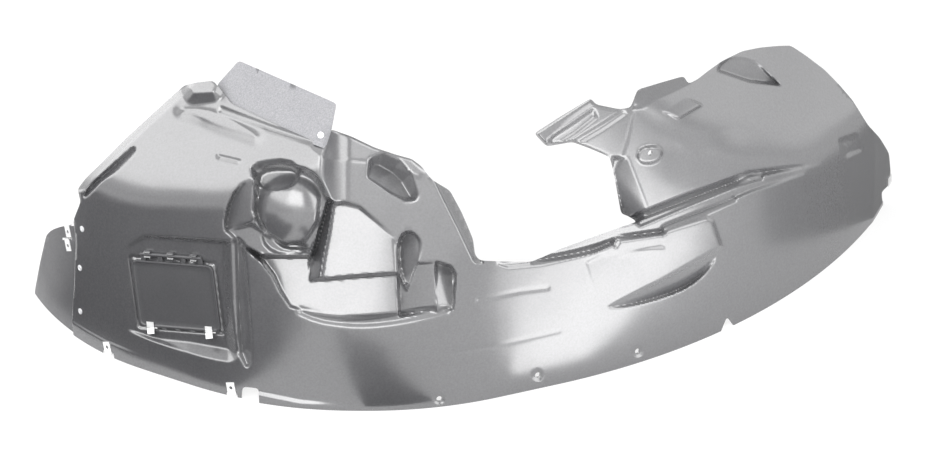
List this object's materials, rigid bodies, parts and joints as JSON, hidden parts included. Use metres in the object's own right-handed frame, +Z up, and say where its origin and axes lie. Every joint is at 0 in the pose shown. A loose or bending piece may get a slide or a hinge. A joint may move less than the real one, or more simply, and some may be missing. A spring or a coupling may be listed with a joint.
{
  "type": "wheel arch liner",
  "caption": "Moulded liner for a front wheel arch with an access hatch, a flap at the front end, a seal strip at the rim and spring nuts along its edges",
  "frame": {"origin": "Middle of the overall box at the level of the lip edge that the liner stands on.", "axes": "+Z up, along the wheel's axle direction, from the lip to the inboard rim; +X from the front end with the hatch to the rear end; +Y from the arch's crown side into the wheel space."},
  "size_m": [0.9988, 0.5294, 0.3566],
  "materials": {
    "moulding": "glossy",
    "lid": "satin",
    "dark_sheet": "satin",
    "seal_sheet": "matte",
    "spring_steel": "satin",
    "rivet_metal": "satin"
  },
  "bodies": {
    "liner": {"liner_shell": "moulding", "front_flap": "dark_sheet", "seal_flap": "seal_sheet", "side_nut_upper": "spring_steel", "side_nut_lower": "spring_steel", "lip_nut_front": "spring_steel", "lip_nut_middle": "spring_steel", "rear_clip": "spring_steel", "flap_rivet_1": "rivet_metal", "flap_rivet_2": "rivet_metal", "flap_rivet_3": "rivet_metal", "seal_rivet": "rivet_metal"},
    "hatch": {"access_lid": "lid", "lid_clip_left": "spring_steel", "lid_clip_right": "spring_steel"}
  },
  "joints": [
    {"name": "hatch_hinge", "type": "hinge", "parent": "liner", "child": "hatch", "pos_m": [-0.33844, -0.17133, 0.15129], "axis": [-0.8877, 0.4288, -0.1676], "range_deg": [0, 105]}
  ]
}
